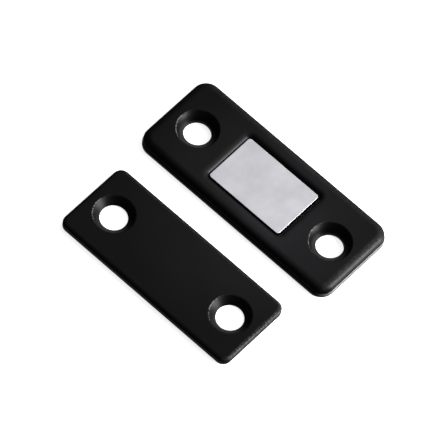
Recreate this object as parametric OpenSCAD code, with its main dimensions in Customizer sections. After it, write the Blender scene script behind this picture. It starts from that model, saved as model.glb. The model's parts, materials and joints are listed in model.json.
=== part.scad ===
// Ultra-thin magnetic door catch: a magnet plate for the frame and a strike plate for the door.
// The two plates lie side by side with their working faces up. The door's own hinge line runs
// between them, so half a turn about it lays the strike face down over the magnet.
// X runs along both plates and Z up out of them. The origin is on the back of the magnet plate,
// midway between its screw holes.

/* [Magnet plate] */
// Length of the magnet plate
plate_len = 45; // [42:0.5:60]
// Width of the magnet plate
plate_wid = 18.4; // [17:0.2:26]
// Corner radius of the magnet plate, seen from above
plate_corner_r = 2.8; // [1.6:0.1:4]
// Thickness of the steel back plate
back_thick = 1; // [0.6:0.1:2.5]
// Radius on the back plate's upper edge, which makes the seam under the cover
seam_r = 0.15; // [0.05:0.05:0.3]
// Height of the pressed cover above the back plate
cover_height = 1.4; // [1:0.1:3]
// Radius rolled onto the cover's upper edge
cover_roll_r = 1.1; // [0.4:0.1:1.4]
// Sheet thickness of the cover
cover_sheet = 0.6; // [0.4:0.05:0.9]

/* [Magnet] */
// Length of the magnet
magnet_len = 16.7; // [8:0.1:20]
// Width of the magnet
magnet_wid = 10.9; // [6:0.1:13]
// Radius on the magnet's four upright corners
magnet_corner_r = 0.8; // [0.3:0.1:2]
// Radius on the magnet's upper edge
magnet_edge_r = 0.15; // [0.05:0.05:0.3]
// How far the magnet's face lies below the cover's surface
magnet_recess = 0.3; // [0.05:0.05:0.6]
// Clearance between the magnet and the cover's window, on each side
window_gap = 0.1; // [0.05:0.05:0.5]
// Thickness of the adhesive film under the magnet
film_thick = 0.1; // [0.05:0.05:0.2]
// How far the film stays inside the magnet's edge
film_margin = 0.6; // [0.2:0.1:1.5]

/* [Strike plate] */
// Length of the strike plate
strike_len = 39.8; // [38:0.2:60]
// Width of the strike plate
strike_wid = 16.1; // [12:0.1:24]
// Thickness of the strike plate
strike_thick = 1.5; // [1:0.1:3]
// Corner radius of the strike plate, seen from above
strike_corner_r = 1.7; // [0.8:0.1:4]
// Radius on the strike plate's upper edge
strike_edge_r = 0.4; // [0.1:0.1:0.6]

/* [Screw holes] */
// Distance from the magnet plate's end to the middle of its screw hole
plate_hole_inset = 6.5; // [6:0.1:8]
// Diameter of the magnet plate's screw holes
plate_hole_d = 5.1; // [3:0.1:5.6]
// Diameter of the magnet plate's countersinks at the surface
plate_sink_d = 7.9; // [6:0.1:9]
// Distance from the strike plate's end to the middle of its screw hole
strike_hole_inset = 5.9; // [5.5:0.1:8]
// Diameter of the strike plate's screw holes
strike_hole_d = 5.1; // [3:0.1:5.6]
// Diameter of the strike plate's countersinks at the surface
strike_sink_d = 7.75; // [6:0.05:9]
// Straight wall left under the strike plate's countersinks
strike_land = 0.25; // [0.1:0.05:0.5]

/* [Layout] */
// Free space between the two plates as they lie side by side
plate_spacing = 5.7; // [3:0.1:12]
// How far the strike plate lies off the magnet plate's middle, along its length
strike_shift = -0.9; // [-3:0.1:3]

/* [Hidden] */
$fn = 96;
cut = 0.5;
cover_top = back_thick + cover_height;
magnet_base = back_thick + film_thick;
magnet_top = cover_top - magnet_recess;
plate_pitch = plate_len - 2 * plate_hole_inset;
strike_pitch = strike_len - 2 * strike_hole_inset;
strike_y = -(plate_wid + strike_wid) / 2 - plate_spacing;
steel_black = "#1b1b1d";

// Half section of a slab's edge: reach wide, with the upper outer corner rounded
module edge_section(reach, low, high, edge_r) {
    r = min(edge_r, reach, high - low);
    translate([0, low]) square([reach, high - low - r]);
    translate([0, low]) square([reach - r, high - low]);
    if (r > 0)
        translate([reach - r, high - r])
            intersection() {
                circle(r);
                square(r);
            }
}

// Rectangle with round corners
module round_rectangle(len, wid, corner_r) {
    square([len - 2 * corner_r, wid], center = true);
    square([len, wid - 2 * corner_r], center = true);
    for (x = [-1, 1], y = [-1, 1])
        translate([x * (len / 2 - corner_r), y * (wid / 2 - corner_r)]) circle(corner_r);
}

// Slab with round corners in plan and a rounded upper edge
module slab(len, wid, low, high, corner_r, edge_r) {
    flat_len = len - 2 * corner_r;
    flat_wid = wid - 2 * corner_r;
    translate([-flat_len / 2, -flat_wid / 2, low]) cube([flat_len, flat_wid, high - low]);
    for (side = [0, 180]) {
        rotate(side)
            translate([-flat_len / 2, flat_wid / 2, 0])
                rotate([90, 0, 90])
                    linear_extrude(flat_len) edge_section(corner_r, low, high, edge_r);
        rotate(side)
            translate([flat_len / 2, flat_wid / 2, 0])
                rotate([90, 0, 0])
                    linear_extrude(flat_wid) edge_section(corner_r, low, high, edge_r);
        rotate(side)
            translate([flat_len / 2, flat_wid / 2, 0])
                rotate_extrude(angle = 90) edge_section(corner_r, low, high, edge_r);
        rotate(side)
            translate([-flat_len / 2, flat_wid / 2, 0])
                rotate(90)
                    rotate_extrude(angle = 90) edge_section(corner_r, low, high, edge_r);
    }
}

// Copies its children to both holes of a row
module at_holes(pitch) {
    for (x = [-pitch / 2, pitch / 2])
        translate([x, 0, 0]) children();
}

// Straight screw hole through everything between low and high
module screw_hole(hole_d, low, high) {
    translate([0, 0, low - cut]) cylinder(h = high - low + 2 * cut, d = hole_d);
}

// Cone that opens from hole_d at low to sink_d at high, and runs on past high by over
module screw_cone(hole_d, sink_d, low, high, over) {
    flare = (sink_d - hole_d) / (high - low);
    translate([0, 0, low])
        cylinder(h = high - low + over, d1 = hole_d, d2 = sink_d + flare * over);
}

// Flat steel plate that closes the magnet's field and carries the screws' load
module back_plate() {
    color(steel_black)
        difference() {
            slab(plate_len, plate_wid, 0, back_thick, plate_corner_r, seam_r);
            at_holes(plate_pitch) screw_hole(plate_hole_d, 0, back_thick);
        }
}

// Cured film that holds the magnet down on the back plate
module adhesive_film() {
    color("#c8a75a")
        translate([0, 0, back_thick])
            linear_extrude(film_thick)
                square([magnet_len - 2 * film_margin, magnet_wid - 2 * film_margin], center = true);
}

// Nickel-plated block magnet
module block_magnet() {
    color("#c8c7cc")
        slab(magnet_len, magnet_wid, magnet_base, magnet_top, magnet_corner_r, magnet_edge_r);
}

// Pressed pan of even sheet: rolled edge, window for the magnet, and two formed screw seats
module magnet_cover() {
    ceiling = cover_top - cover_sheet;
    seat_wall = cover_sheet * sqrt(2);
    color(steel_black)
        difference() {
            union() {
                difference() {
                    slab(plate_len, plate_wid, back_thick, cover_top, plate_corner_r, cover_roll_r);
                    slab(plate_len - 2 * cover_sheet, plate_wid - 2 * cover_sheet,
                         back_thick - cut, ceiling,
                         plate_corner_r - cover_sheet, max(cover_roll_r - cover_sheet, 0));
                }
                at_holes(plate_pitch)
                    screw_cone(plate_hole_d + 2 * seat_wall, plate_sink_d + 2 * seat_wall,
                               back_thick, cover_top, 0);
            }
            at_holes(plate_pitch) {
                screw_hole(plate_hole_d, back_thick, cover_top);
                screw_cone(plate_hole_d, plate_sink_d, back_thick, cover_top, cut);
            }
            translate([0, 0, back_thick - cut])
                linear_extrude(cover_height + 2 * cut)
                    round_rectangle(magnet_len + 2 * window_gap, magnet_wid + 2 * window_gap,
                                    magnet_corner_r + window_gap);
        }
}

// Plain steel strike for the door leaf, with two countersunk screw holes
module strike_plate() {
    color(steel_black)
        translate([strike_shift, strike_y, 0])
            difference() {
                slab(strike_len, strike_wid, 0, strike_thick, strike_corner_r, strike_edge_r);
                at_holes(strike_pitch) {
                    screw_hole(strike_hole_d, 0, strike_thick);
                    screw_cone(strike_hole_d, strike_sink_d, strike_land, strike_thick, cut);
                }
            }
}

back_plate();
adhesive_film();
block_magnet();
magnet_cover();
strike_plate();
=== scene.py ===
import json
import math

import bmesh
import bpy
from mathutils import Matrix, Vector
from mathutils.geometry import delaunay_2d_cdt


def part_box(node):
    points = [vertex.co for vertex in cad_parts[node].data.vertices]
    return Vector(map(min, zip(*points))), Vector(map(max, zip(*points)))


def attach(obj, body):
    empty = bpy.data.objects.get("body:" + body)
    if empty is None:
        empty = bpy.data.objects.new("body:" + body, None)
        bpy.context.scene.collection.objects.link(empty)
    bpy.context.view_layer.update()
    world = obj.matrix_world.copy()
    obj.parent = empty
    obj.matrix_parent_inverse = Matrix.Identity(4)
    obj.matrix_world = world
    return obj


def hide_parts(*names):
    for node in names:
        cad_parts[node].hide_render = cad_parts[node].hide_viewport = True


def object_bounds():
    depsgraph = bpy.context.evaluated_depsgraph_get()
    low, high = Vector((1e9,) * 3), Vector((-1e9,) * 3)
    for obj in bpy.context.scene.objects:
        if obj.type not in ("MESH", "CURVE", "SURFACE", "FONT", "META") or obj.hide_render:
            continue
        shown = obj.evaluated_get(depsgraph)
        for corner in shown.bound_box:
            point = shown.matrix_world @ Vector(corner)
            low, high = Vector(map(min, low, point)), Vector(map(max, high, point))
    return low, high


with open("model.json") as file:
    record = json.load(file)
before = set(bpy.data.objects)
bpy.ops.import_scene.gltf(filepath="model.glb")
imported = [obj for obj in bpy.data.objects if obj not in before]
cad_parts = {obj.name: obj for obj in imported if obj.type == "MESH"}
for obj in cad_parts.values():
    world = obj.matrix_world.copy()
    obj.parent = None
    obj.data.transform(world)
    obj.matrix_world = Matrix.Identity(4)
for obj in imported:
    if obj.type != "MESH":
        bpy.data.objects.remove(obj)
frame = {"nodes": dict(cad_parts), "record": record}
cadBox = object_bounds()
mm = 0.001
print("frame loaded:", ", ".join(sorted(frame["nodes"])))


class Signal:
    # one output socket, so that shader maths can be written as Python expressions
    def __init__(self, finish, socket):
        self.finish = finish
        self.socket = socket

    def join(self, operation, first, second):
        return self.finish.node("ShaderNodeMath", {"operation": operation}, {0: first, 1: second})

    def __add__(self, other):
        return self.join("ADD", self, other)

    def __radd__(self, other):
        return self.join("ADD", other, self)

    def __sub__(self, other):
        return self.join("SUBTRACT", self, other)

    def __rsub__(self, other):
        return self.join("SUBTRACT", other, self)

    def __mul__(self, other):
        return self.join("MULTIPLY", self, other)

    def __rmul__(self, other):
        return self.join("MULTIPLY", other, self)


class Finish:
    # a node tree, either a material's with its Principled shader or the world's
    def __init__(self, tree):
        self.tree = tree

    def node(self, kind, settings=None, sockets=None, output=0):
        made = self.tree.nodes.new(kind)
        for key, value in (settings or {}).items():
            if key == "stops":
                ramp = made.color_ramp
                for place, _ in value[2:]:
                    ramp.elements.new(place)
                for element, (place, level) in zip(ramp.elements, value):
                    element.position = place
                    element.color = (level, level, level, 1)
            else:
                setattr(made, key, value)
        for key, value in (sockets or {}).items():
            if isinstance(value, Signal):
                self.tree.links.new(value.socket, made.inputs[key])
            else:
                made.inputs[key].default_value = value
        return Signal(self, made.outputs[output])

    def place(self, kind="Object"):
        return self.node("ShaderNodeTexCoord", output=kind)

    def split(self, vector):
        # a vector's three numbers, each as its own signal
        first = self.node("ShaderNodeSeparateXYZ", sockets={0: vector})
        return [Signal(self, first.socket.node.outputs[axis]) for axis in range(3)]

    def attribute(self, name):
        return self.node("ShaderNodeAttribute", {"attribute_name": name}, output="Fac")

    def noise(self, place, size, detail, rough=0.5):
        # size is the width of one blotch in millimetres
        sockets = {"Vector": place, "Scale": 1 / (size * mm), "Detail": detail, "Roughness": rough}
        return self.node("ShaderNodeTexNoise", {"noise_dimensions": "3D"}, sockets)

    def ramp(self, value, *stops):
        return self.node("ShaderNodeValToRGB", {"stops": stops}, {"Fac": value})

    def blend(self, mask, first, second):
        # either colour is a signal or three numbers
        # a Mix node in colour mode takes them at sockets 6 and 7, and gives its result at output 2
        colours = [side if isinstance(side, Signal) else (*side, 1) for side in (first, second)]
        return self.node("ShaderNodeMix", {"data_type": "RGBA"}, {0: mask, 6: colours[0], 7: colours[1]}, 2)

    def bump(self, height, deepest):
        # deepest is in millimetres
        sockets = {"Height": height, "Distance": deepest * mm, "Strength": 1.0}
        return self.node("ShaderNodeBump", sockets=sockets)


def newFinish(name, fixed, varied):
    # fixed goes straight onto the shader's sockets; varied adds the node tree that feeds the others
    material = bpy.data.materials.new(name)
    material.use_nodes = True
    finish = Finish(material.node_tree)
    shader = material.node_tree.nodes["Principled BSDF"]
    for key, value in fixed.items():
        shader.inputs[key].default_value = value
    for key, signal in varied(finish).items():
        finish.tree.links.new(signal.socket, shader.inputs[key])
    return material


# black electrocoat on steel, with a painted sheen on its tops, lengths in millimetres
blackCoat = {
    "deep": (0.0005, 0.0005, 0.0006),
    "thin": (0.0013, 0.0013, 0.0015),
    "hazed": (0.0115, 0.0115, 0.0130),
    "bare": (0.52, 0.52, 0.53),
    "chipSize": 0.28,
    "chipStops": ((0.46, 0), (0.66, 1)),
    "cloudSize": 7.0,
    "peelSize": 0.55,
    "grainSize": 0.10,
    "peelHeight": 0.0016,
    "peelShare": 0.75,          # of the bump's height; the grain has the rest
    # painted sheen: a lighter, clouded pool on the coat's up-facing faces round one point, a painted
    # reflection
    "hazeMiddle": (4.0, -4.5, 2.0),
    "hazeReach": 25.0,
    "hazeClouds": ((0.30, 0.70), (0.70, 1.0)),
    "hazeUpright": ((0.85, 0), (0.98, 1)),      # only what faces up gets the painted sheen
    "roughness": 0.36,
    "cloudRoughness": 0.10,
    "grainRoughness": 0.08,
    "bareRoughness": -0.20,
    "specular": 0.11,
    "wear": 0.20,               # how much bare steel shows along the edges, as wear and as painted glint
}


def coatFinish(name, change):
    # change holds what differs from the plain black coat
    look = {**blackCoat, **change}

    def varied(finish):
        place = finish.place()
        cloud = finish.noise(place, look["cloudSize"], detail=3.0)
        peel = finish.noise(place, look["peelSize"], detail=1.0)
        grain = finish.noise(place, look["grainSize"], detail=2.0)
        chips = finish.noise(place, look["chipSize"], detail=3.0, rough=0.7)
        # painted sheen: up-facing coat near one point is lightened, a painted reflection
        middle = Vector(look["hazeMiddle"]) * mm
        ends = {0: place, 1: middle}
        apart = finish.node("ShaderNodeVectorMath", {"operation": "DISTANCE"}, ends, "Value")
        near = finish.ramp(apart * (1 / (look["hazeReach"] * mm)), (0.0, 1), (1.0, 0))
        upright = finish.split(finish.place("Normal"))[2]
        clouded = finish.ramp(cloud, *look["hazeClouds"])
        paintedSheenMask = near * clouded * finish.ramp(upright, *look["hazeUpright"])
        coat = finish.blend(cloud, look["deep"], look["thin"])
        coatWithPaintedSheen = finish.blend(paintedSheenMask, coat, look["hazed"])
        # bare steel along the edges: partly wear, partly painted highlight, as it sits on the side that
        # faces the light
        bare = finish.attribute("edgeWear") * finish.ramp(chips, *look["chipStops"]) * look["wear"]
        height = peel * look["peelShare"] + grain * (1 - look["peelShare"])
        changes = (cloud - 0.5) * look["cloudRoughness"] + (grain - 0.5) * look["grainRoughness"]
        return {
            "Base Color": finish.blend(bare, coatWithPaintedSheen, look["bare"]),
            "Roughness": look["roughness"] + changes + bare * look["bareRoughness"],
            "Metallic": bare,
            "Normal": finish.bump(height, look["peelHeight"]),
        }

    return newFinish(name, {"Specular IOR Level": look["specular"]}, varied)


# nickel plating, lengths in millimetres
nickel = {
    "bright": (0.74, 0.735, 0.775),
    "dull": (0.65, 0.645, 0.685),
    # painted shade for the magnet's sides, in the gap round it
    "soiled": (0.06, 0.06, 0.062),
    "cloudSize": 3.2,
    "cloudStops": ((0.30, 0), (0.70, 1)),
    "grainSize": 0.10,
    "grainHeight": 0.0009,
    "roughness": 0.50,
    "cloudRoughness": 0.08,
    "grainRoughness": 0.06,
}


def nickelFinish():
    def varied(finish):
        place = finish.place()
        cloud = finish.noise(place, nickel["cloudSize"], detail=3.0)
        grain = finish.noise(place, nickel["grainSize"], detail=3.0, rough=0.6)
        clouded = finish.ramp(cloud, *nickel["cloudStops"])
        plate = finish.blend(clouded, nickel["dull"], nickel["bright"])
        changes = (cloud - 0.5) * nickel["cloudRoughness"] + (grain - 0.5) * nickel["grainRoughness"]
        return {
            # the magnet's sides take painted shade
            "Base Color": finish.blend(finish.attribute("edgeWear"), plate, nickel["soiled"]),
            "Roughness": nickel["roughness"] + changes,
            "Normal": finish.bump(grain, nickel["grainHeight"]),
        }

    return newFinish("nickelPlating", {"Metallic": 1.0}, varied)


# cured amber film under the magnet
adhesive = {
    "pale": (0.62, 0.45, 0.16),
    "deep": (0.42, 0.26, 0.07),
    "cloudSize": 1.5,
    "roughness": 0.28,
    "cloudRoughness": 0.20,
}


def adhesiveFinish():
    def varied(finish):
        cloud = finish.noise(finish.place(), adhesive["cloudSize"], detail=3.0)
        return {
            "Base Color": finish.blend(cloud, adhesive["deep"], adhesive["pale"]),
            "Roughness": adhesive["roughness"] + (cloud - 0.5) * adhesive["cloudRoughness"],
        }

    return newFinish("curedAdhesive", {"Metallic": 0.0}, varied)


# where bare steel shows, as wear and as painted glint, as directions in plan; both plates have it on the
# same side, the side that faces the light
wearAndGlintSide = {
    "edgeAngle": 25,        # degrees from the plates' length that the barest outer edges face, towards the light, for a painted highlight
    "edgeLeast": 0.04,      # share that is left on the far side
    "rimAngle": 208,        # the same for the rims of the screw holes, on the part whose slope faces the light
    "rimLeast": 0.02,
    "rimPower": 5.0,        # how quickly a rim's bare part ends
}
outlineSteps = {"corner": 14, "side": 12, "hole": 96}
guard = 0.06    # width of the flat strip beside every rounded edge, so that its shading stays flat
fade = 0.04     # height over which the finish of a plate's side changes


def roundedOutline(length, width, radius):
    # anticlockwise from the middle of the +X end's upper corner
    points = []
    signs = ((1, 1), (-1, 1), (-1, -1), (1, -1))
    for turn, (signX, signY) in enumerate(signs):
        centre = Vector((signX * (length / 2 - radius), signY * (width / 2 - radius)))
        for step in range(outlineSteps["corner"] + 1):
            angle = math.pi / 2 * (turn + step / outlineSteps["corner"])
            points.append(centre + radius * Vector((math.cos(angle), math.sin(angle))))
        nextX, nextY = signs[(turn + 1) % 4]
        nextCentre = Vector((nextX * (length / 2 - radius), nextY * (width / 2 - radius)))
        angle = math.pi / 2 * (turn + 1)
        nextStart = nextCentre + radius * Vector((math.cos(angle), math.sin(angle)))
        for left in range(outlineSteps["side"], 1, -1):
            points.append(points[-1].lerp(nextStart, 1 / left))
    return points


def circleOutline(x, radius):
    turns = [2 * math.pi * step / outlineSteps["hole"] for step in range(outlineSteps["hole"])]
    return [Vector((x + radius * math.cos(turn), radius * math.sin(turn))) for turn in turns]


def oval(middle, height, across, up, start, end, steps):
    # points of an oval's arc in a profile, angles in degrees from the profile's outward direction
    angles = [math.radians(start + (end - start) * step / steps) for step in range(steps + 1)]
    return [(middle + across * math.cos(a), height + up * math.sin(a)) for a in angles]


def arc(middle, height, radius, start, end, steps):
    # the same for a circle
    return oval(middle, height, radius, radius, start, end, steps)


def wearAndGlintShares(normals, angle, least, power=1.0):
    # share of the full bareness, wear and painted glint, at each point of a ring, most where the ring faces
    # the given way
    towards = Vector((math.cos(math.radians(angle)), math.sin(math.radians(angle))))
    return [least + (1 - least) * max(0.0, normal.dot(towards)) ** power for normal in normals]


def wornAndGlinting(profile, most):
    # adds bare steel, wear and painted glint, to a rounded edge, most of all at its middle
    last = len(profile) - 1
    return [(*point, most * math.sin(math.pi * step / last)) for step, point in enumerate(profile)]


class PressedMesh:
    # rings of points joined by bands of quads, with flat areas filled between rings
    # a profile's points are (reach or radius, height), with a third number for wear and painted light: bare
    # steel with painted glint on the plates, painted shade on the magnet's sides
    def __init__(self):
        self.points = []
        self.faces = []
        self.wear = []

    def ring(self, outline, height, shares, wear=0.0):
        first = len(self.points)
        self.points += [(point.x, point.y, height) for point in outline]
        self.wear += [wear * share for share in shares]
        return list(range(first, len(self.points)))

    def bands(self, rings):
        for lower, upper in zip(rings, rings[1:]):
            for i in range(len(lower)):
                j = (i + 1) % len(lower)
                self.faces.append((lower[i], lower[j], upper[j], upper[i]))
        return rings[0], rings[-1]

    def edgeBands(self, size, profile, even=False, shift=(0, 0)):
        # round a rectangle with round corners, whose outline is where the profile's reach is 0
        length, width, radius = size
        # the same outline one step further out gives the ways that its points face
        inside = roundedOutline(length, width, radius)
        outside = roundedOutline(length + 2, width + 2, radius + 1)
        normals = [far - near for near, far in zip(inside, outside)]
        least = 1.0 if even else wearAndGlintSide["edgeLeast"]
        shares = wearAndGlintShares(normals, wearAndGlintSide["edgeAngle"], least)
        rings = []
        for reach, height, *wear in profile:
            outline = roundedOutline(length + 2 * reach, width + 2 * reach, radius + reach)
            moved = [point + Vector(shift) for point in outline]
            rings.append(self.ring(moved, height, shares, *wear))
        return self.bands(rings)

    def holeBands(self, x, profile):
        normals = circleOutline(0, 1)
        shares = wearAndGlintShares(normals, wearAndGlintSide["rimAngle"], wearAndGlintSide["rimLeast"], wearAndGlintSide["rimPower"])
        return self.bands([
            self.ring(circleOutline(x, radius), height, shares, *wear) for radius, height, *wear in profile
        ])

    def screwHoles(self, screws, profile):
        # both holes of a plate; gives the rings where their profile starts, and those where it ends
        holes = [self.holeBands(side * screws["spacing_x_mm"] / 2, profile) for side in (-1, 1)]
        return [hole[0] for hole in holes], [hole[1] for hole in holes]

    def fill(self, *rings):
        # even triangles over the flat inside the first ring and outside the others
        index = [i for ring in rings for i in ring]
        order = {i: k for k, i in enumerate(index)}
        flat = [Vector(self.points[i][:2]) for i in index]
        edges = [(order[ring[k - 1]], order[ring[k]]) for ring in rings for k in range(len(ring))]
        insideOnly, tolerance = 1, 1e-7
        outcome = delaunay_2d_cdt(flat, edges, [], insideOnly, tolerance)
        corners, origins = outcome[2], outcome[3]
        openings = [set(ring) for ring in rings[1:]]
        for corner in corners:
            face = [index[origins[k][0]] for k in corner]
            if not any(opening.issuperset(face) for opening in openings):
                self.faces.append(tuple(face))

    def piece(self, name, origin, material):
        mesh = bpy.data.meshes.new(name)
        corners = [(Vector(point) + origin) * mm for point in self.points]
        mesh.from_pydata(corners, [], self.faces)
        work = bmesh.new()
        work.from_mesh(mesh)
        bmesh.ops.recalc_face_normals(work, faces=work.faces)
        for face in work.faces:
            face.smooth = True
        work.to_mesh(mesh)
        work.free()
        wear = mesh.attributes.new("edgeWear", "FLOAT", "POINT")
        wear.data.foreach_set("value", self.wear)
        mesh.materials.append(material)
        made = bpy.data.objects.new(name, mesh)
        bpy.context.scene.collection.objects.link(made)
        return made


def nodePlace(node):
    # a CAD solid's lowest and highest corners and its middle in plan, in millimetres
    low, high = (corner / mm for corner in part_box(node))
    return low, high, Vector(((low.x + high.x) / 2, (low.y + high.y) / 2, 0))


def mount(name):
    return next(entry for entry in frame["record"]["mounts"] if entry["name"] == name)


backPlate = {
    "cornerRadius": 2.8,
    "upperEdge": 0.22,
    "lowerEdge": 0.08,
    "holeEdge": 0.08,
    "sideWear": 1.0,        # bare steel with painted glint on the side, above the painted shadow strip
    "coveredStrip": 0.30,   # height at the foot of the side that keeps its coat, as a painted contact shadow
    "coat": {"wear": 0.42, "chipStops": ((0.25, 0.55), (0.75, 1.0))},
}


def backPlateSideProfile(bottom, top):
    # from the underside up the side and over the upper edge; its last third keeps its coat
    lower, upper, wear = (backPlate[key] for key in ("lowerEdge", "upperEdge", "sideWear"))
    # the black foot of the side is painted shadow where the plate meets the floor
    shadowStripTop = bottom + backPlate["coveredStrip"]
    profile = [(-lower - guard, bottom)] + arc(-lower, bottom + lower, lower, 270, 360, steps=4)
    profile += [(0, shadowStripTop), (0, shadowStripTop + fade, wear)]
    profile += [(*point, wear) for point in arc(-upper, top - upper, upper, 0, 45, steps=3)]
    return profile + arc(-upper, top - upper, upper, 60, 90, steps=3) + [(-upper - guard, top)]


def backPlateHoleProfile(hole, bottom, top):
    edge = backPlate["holeEdge"]
    lowerEdge = arc(hole + edge, bottom + edge, edge, 270, 180, steps=4)
    upperEdge = arc(hole + edge, top - edge, edge, 180, 90, steps=4)
    return [(hole + edge + guard, bottom)] + lowerEdge + upperEdge + [(hole + edge + guard, top)]


def makeBackPlate(material):
    low, high, middle = nodePlace("back_plate")
    size = (high.x - low.x, high.y - low.y, backPlate["cornerRadius"])
    screws = mount("magnet_plate_screws")["dims"]
    mesh = PressedMesh()
    floorRing, topRing = mesh.edgeBands(size, backPlateSideProfile(low.z, high.z))
    profile = backPlateHoleProfile(screws["hole_r_mm"], low.z, high.z)
    lowerRings, upperRings = mesh.screwHoles(screws, profile)
    mesh.fill(floorRing, *lowerRings)
    mesh.fill(topRing, *upperRings)
    return mesh.piece("backPlate", middle, material)


cover = {
    "cornerRadius": 2.8,
    "rollWidth": 1.6,
    "rollHeight": 1.05,
    "rollSteps": 24,
    # wear and painted glint on the cover's roll and on its screw-hole rims
    "rollWear": 0.30,
    "rollWornFrom": 0.17,   # share of the roll, from its foot, that keeps its coat, with no wear or painted glint
    "sheet": 0.6,
    "ledge": 0.18,          # of the back plate, left bare at the +X end and the -Y side
    "lowerEdge": 0.12,
    "seamHeight": 0.12,     # groove between the cover's foot and the back plate
    "seamDepth": 0.45,
    "sinkRadius": 3.95,
    "sinkFoot": 0.03,       # how much wider the cone ends than the hole below it
    "rimFillet": 0.32,
    "rimWear": 3.2,
    "windowGap": 0.20,
    "windowEdge": 0.05,
    "windowRadius": 0.75,
    "lipWidth": 1.5,        # the sheet draws down towards the window
    "lipAngle": 46,
    "lipCurve": 1.8,
    "lipSteps": 14,
    "lipUnder": 0.90,       # depth of the lip's underside below the cover's top
    "lipUnderWidth": 0.2,
    "lipUnderEdge": 0.04,
    "coat": {},
}


def coverOuterProfile(bottom, top):
    # from the ceiling's edge down the inside, round the foot, up past the seam and over the roll
    sheet, width, height, foot = (cover[key] for key in ("sheet", "rollWidth", "rollHeight", "lowerEdge"))
    seam, depth, steps = (cover[key] for key in ("seamHeight", "seamDepth", "rollSteps"))
    profile = [(-width - guard, top - sheet)]
    profile += oval(-width, top - height, width - sheet, height - sheet, 90, 0, steps=12)
    profile += [(-sheet, bottom), (-depth, bottom), (-depth, bottom + seam)]
    profile += arc(-foot, bottom + seam + foot, foot, 270, 360, steps=4)
    roll = oval(-width, top - height, width, height, 0, 90, steps)
    kept = round(steps * cover["rollWornFrom"])
    profile += roll[:kept] + wornAndGlinting(roll[kept:], cover["rollWear"])
    return profile + [(-width - guard, top)]


def coverWindowProfile(top):
    # from the flat top over the drawn-down lip and the window's edge to the ceiling
    width, edge, power = cover["lipWidth"], cover["windowEdge"], cover["lipCurve"] + 1
    turn, steps = math.radians(cover["lipAngle"]), cover["lipSteps"]
    drop = math.tan(turn) * width / power
    start = edge * (1 - math.sin(turn)) + width
    profile = [(start + guard, top)]
    for step in range(steps + 1):
        profile.append((start - width * step / steps, top - drop * (step / steps) ** power))
    height = profile[-1][1] - edge * math.cos(turn)
    profile += arc(edge, height, edge, 90 + cover["lipAngle"], 180, steps=4)[1:]
    ceiling, under, underEdge = top - cover["sheet"], top - cover["lipUnder"], cover["lipUnderEdge"]
    profile += arc(underEdge, under + underEdge, underEdge, 180, 270, steps=3)
    return profile + [(cover["lipUnderWidth"], under), (width, ceiling), (width + guard, ceiling)]


def sinkProfile(hole, low, high, look):
    # from the flat surface round the soft rim and down the cone to its foot
    sink, fillet = look["sinkRadius"], look["rimFillet"]
    slope = math.atan2(high - low, sink - hole)
    middle = sink + fillet * math.tan(slope / 2)
    rim = arc(middle, high - fillet, fillet, 90, 90 + math.degrees(slope), steps=8)
    return [(middle + guard, high)] + wornAndGlinting(rim, look["rimWear"])


def coverHoleProfile(hole, bottom, top):
    # down the countersink and its foot, then up the outside of the pressed seat to the ceiling
    ceiling = top - cover["sheet"]
    wall = cover["sheet"] * math.sqrt(2)
    slope = (cover["sinkRadius"] - hole) / (top - bottom)
    foot = cover["sinkFoot"]
    profile = sinkProfile(hole, bottom, top, cover)
    profile += [(hole + foot, bottom + foot / slope), (hole + foot, bottom), (hole + wall, bottom)]
    shoulder = hole + wall + (ceiling - bottom) * slope
    return profile + [(shoulder, ceiling), (shoulder + guard, ceiling)]


def makeCover(material):
    low, high, middle = nodePlace("magnet_cover")
    magnetLow, magnetHigh = nodePlace("block_magnet")[:2]
    gap, ledge = cover["windowGap"], cover["ledge"]
    size = (high.x - low.x - ledge, high.y - low.y - ledge, cover["cornerRadius"])
    window = (
        magnetHigh.x - magnetLow.x + 2 * gap,
        magnetHigh.y - magnetLow.y + 2 * gap,
        cover["windowRadius"],
    )
    screws = mount("magnet_plate_screws")["dims"]
    mesh = PressedMesh()
    profile = coverOuterProfile(low.z, high.z)
    ceilingRing, topRing = mesh.edgeBands(size, profile, shift=(-ledge / 2, ledge / 2))
    dishRing, windowRing = mesh.edgeBands(window, coverWindowProfile(high.z))
    profile = coverHoleProfile(screws["hole_r_mm"], low.z, high.z)
    rimRings, seatRings = mesh.screwHoles(screws, profile)
    mesh.fill(topRing, dishRing, *rimRings)
    mesh.fill(ceilingRing, windowRing, *seatRings)
    return mesh.piece("magnetCover", middle, material)


magnet = {"cornerRadius": 0.55, "edge": 0.05}


def makeMagnet(material):
    low, high, middle = nodePlace("block_magnet")
    size = (high.x - low.x, high.y - low.y, magnet["cornerRadius"])
    edge = magnet["edge"]
    foot = arc(-edge, low.z + edge, edge, 270, 360, steps=5)
    profile = [(-edge - guard, low.z)] + [(*point, 1.0) for point in foot]     # its sides are darkened as painted shade in the window's gap
    profile += [(0, high.z - edge - fade, 1.0)]
    profile += arc(-edge, high.z - edge, edge, 0, 90, steps=6) + [(-edge - guard, high.z)]
    mesh = PressedMesh()
    bottomRing, topRing = mesh.edgeBands(size, profile, even=True)
    mesh.fill(bottomRing)
    mesh.fill(topRing)
    return mesh.piece("blockMagnet", middle, material)


strike = {
    "cornerRadius": 1.7,
    "edgeWidth": 0.80,
    "edgeHeight": 0.45,
    "edgeSteps": 14,
    # wear and painted glint on the strike's broad edge and on its screw-hole rims
    "edgeWear": 0.70,
    "lowerEdge": 0.12,
    "sinkRadius": 3.875,
    "rimFillet": 0.4,
    "rimWear": 3.0,
    "land": 0.25,           # height of the straight wall under the countersink
    "landEdge": 0.04,
    "holeEdge": 0.08,
    # the strike's painted sheen is a little darker
    "coat": {"roughness": 0.38, "hazed": (0.0088, 0.0088, 0.0098)},
}


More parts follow.
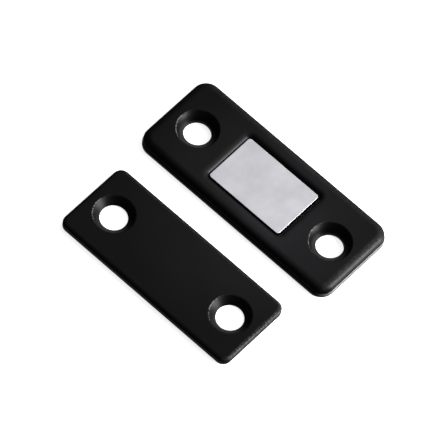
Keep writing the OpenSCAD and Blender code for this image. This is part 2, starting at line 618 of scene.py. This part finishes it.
def strikeSideProfile(bottom, top):
    # from the underside up the side and over the broad upper edge
    lower, width, height = strike["lowerEdge"], strike["edgeWidth"], strike["edgeHeight"]
    profile = [(-lower - guard, bottom)] + arc(-lower, bottom + lower, lower, 270, 360, steps=4)
    edge = oval(-width, top - height, width, height, 0, 90, strike["edgeSteps"])
    return profile + wornAndGlinting(edge, strike["edgeWear"]) + [(-width - guard, top)]


def strikeHoleProfile(hole, bottom, top):
    # down the countersink, round the land's edge and out over the underside
    foot, landEdge, edge = bottom + strike["land"], strike["landEdge"], strike["holeEdge"]
    profile = sinkProfile(hole, foot, top, strike)
    profile += [(hole + landEdge, foot + landEdge), (hole, foot - landEdge / 2)]
    profile += arc(hole + edge, bottom + edge, edge, 180, 270, steps=4)
    return profile + [(hole + edge + guard, bottom)]


def makeStrike(material):
    low, high, middle = nodePlace("strike_plate")
    size = (high.x - low.x, high.y - low.y, strike["cornerRadius"])
    screws = mount("strike_screws")["dims"]
    mesh = PressedMesh()
    floorRing, topRing = mesh.edgeBands(size, strikeSideProfile(low.z, high.z))
    profile = strikeHoleProfile(screws["hole_r_mm"], low.z, high.z)
    rimRings, footRings = mesh.screwHoles(screws, profile)
    mesh.fill(floorRing, *footRings)
    mesh.fill(topRing, *rimRings)
    return mesh.piece("strikePlate", middle, material)


def fit(piece, node, body):
    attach(piece, body)
    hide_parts(node)


backPlateCoat = coatFinish("backPlateCoat", backPlate["coat"])
fit(makeBackPlate(backPlateCoat), "back_plate", "magnet_plate")
print("back plate made")
coverCoat = coatFinish("coverCoat", cover["coat"])
fit(makeCover(coverCoat), "magnet_cover", "magnet_plate")
print("cover made")
fit(makeMagnet(nickelFinish()), "block_magnet", "magnet_plate")
print("magnet made")
strikeCoat = coatFinish("strikeCoat", strike["coat"])
fit(makeStrike(strikeCoat), "strike_plate", "strike")
print("strike plate made")
curedAdhesive = adhesiveFinish()
for filmSlot in frame["nodes"]["adhesive_film"].material_slots:
    filmSlot.material = curedAdhesive
print("adhesive film finished")


studio = {
    "floorRadius": 2.1,         # metres
    "wallRadius": 2.0,
    "wallLevel": 1.0,
    "floorDrop": 0.0002,
    "floorColour": (0.90, 0.90, 0.90),
    "floorGlow": 0.80,
    "brightest": 8.0,           # the soft window's level, on the right towards the back
    "dimmest": 0.08,
    "acrossX": ((0.05, 0.0), (0.17, 0.028), (0.37, 0.10), (0.51, 0.21), (0.63, 0.29), (0.765, 0.46),
                (0.86, 0.62), (0.93, 0.83), (1.0, 1.0)),
    "acrossY": ((0.30, 0.0), (0.45, 0.05), (0.60, 0.10), (0.71, 1.0), (0.82, 1.0), (0.97, 0.6)),
    "acrossZ": ((0.02, 0.12), (0.06, 0.20), (0.22, 0.42), (0.36, 1.0)),
    "under": 0.22,              # level of the light from straight below
    "underZ": ((0.02, 1.0), (0.06, 0.8), (0.16, 0.0)),
    "keyPower": 1.0,            # watts
    "keySize": 0.12,
    "keyPlace": (0.20, 0.10, 0.10),     # from the middle of the object
}


def stageMaterial(name, colour, glow):
    material = bpy.data.materials.new(name)
    material.use_nodes = True
    shader = material.node_tree.nodes["Principled BSDF"]
    shader.inputs["Base Color"].default_value = (*colour, 1)
    shader.inputs["Roughness"].default_value = 0.9
    shader.inputs["Specular IOR Level"].default_value = 0.0
    shader.inputs["Emission Color"].default_value = (1, 1, 1, 1)
    shader.inputs["Emission Strength"].default_value = glow
    return material


def makeFloor():
    bpy.ops.mesh.primitive_circle_add(
        vertices=64, radius=studio["floorRadius"], fill_type="NGON",
        location=(0, 0, cadBox[0].z - studio["floorDrop"]),
    )
    floor = bpy.context.object
    floor.name = "studioFloor"
    floor.data.materials.append(stageMaterial("studioFloor", studio["floorColour"], studio["floorGlow"]))
    floor.visible_glossy = False
    floor.visible_diffuse = False


def makeWall():
    # pale wall all round, seen only from low views
    bpy.ops.mesh.primitive_uv_sphere_add(segments=48, ring_count=24, radius=studio["wallRadius"])
    wall = bpy.context.object
    wall.name = "studioWall"
    wall.data.materials.append(stageMaterial("studioWall", (0, 0, 0), studio["wallLevel"]))
    wall.visible_glossy = False
    wall.visible_diffuse = False
    wall.visible_shadow = False
    wall.visible_transmission = False


def makeWorld():
    # a soft light that grows from the left to the right, and fades towards the front and below
    world = bpy.data.worlds.new("studioWorld")
    bpy.context.scene.world = world
    world.use_nodes = True
    sky = Finish(world.node_tree)
    along = [part * 0.5 + 0.5 for part in sky.split(sky.place("Generated"))]
    across = ("acrossX", "acrossY", "acrossZ")
    window = [sky.ramp(part, *studio[stops]) for part, stops in zip(along, across)]
    under = sky.ramp(along[2], *studio["underZ"]) * studio["under"]
    level = window[0] * window[1] * window[2] * studio["brightest"] + under + studio["dimmest"]
    background = world.node_tree.nodes["Background"]
    world.node_tree.links.new(level.socket, background.inputs["Strength"])
    background.inputs["Color"].default_value = (1, 1, 1, 1)


def addPanel(name, place, size, power):
    # a square soft box that faces the object
    light = bpy.data.lights.new(name, "AREA")
    light.shape = "SQUARE"
    light.size = size
    light.energy = power
    panel = bpy.data.objects.new(name, light)
    bpy.context.scene.collection.objects.link(panel)
    panel.visible_camera = False
    middle = (cadBox[0] + cadBox[1]) / 2
    panel.location = middle + Vector(place)
    panel.rotation_euler = (-Vector(place)).to_track_quat("-Z", "Y").to_euler()


makeFloor()
makeWall()
makeWorld()
addPanel("keyPanel", studio["keyPlace"], studio["keySize"], studio["keyPower"])
print("studio made")


view = {
    "azimuth": 33.0,            # degrees
    "elevation": 60.75,
    "roll": 11.0,
    "distance": 1.0,            # metres
    "lens": 454.0,              # millimetres on a 36 mm sensor
    "aim": (-0.371, 1.079, -1.172),  # millimetres from the middle of the object
}


def makeCamera():
    data = bpy.data.cameras.new("camera")
    data.lens = view["lens"]
    data.sensor_width = 36
    data.clip_start = 0.01
    data.clip_end = 20
    camera = bpy.data.objects.new("camera", data)
    bpy.context.scene.collection.objects.link(camera)
    bpy.context.scene.camera = camera
    azimuth, elevation = math.radians(view["azimuth"]), math.radians(view["elevation"])
    back = Vector((
        math.sin(azimuth) * math.cos(elevation),
        -math.cos(azimuth) * math.cos(elevation),
        math.sin(elevation),
    ))
    aim = (cadBox[0] + cadBox[1]) / 2 + Vector(view["aim"]) * mm
    turn = (-back).to_track_quat("-Z", "Y").to_matrix()
    roll = Matrix.Rotation(math.radians(view["roll"]), 3, "Z")
    camera.matrix_world = Matrix.Translation(aim + back * view["distance"]) @ (turn @ roll).to_4x4()


makeCamera()
bpy.context.scene.view_settings.view_transform = "Standard"
print("camera made")
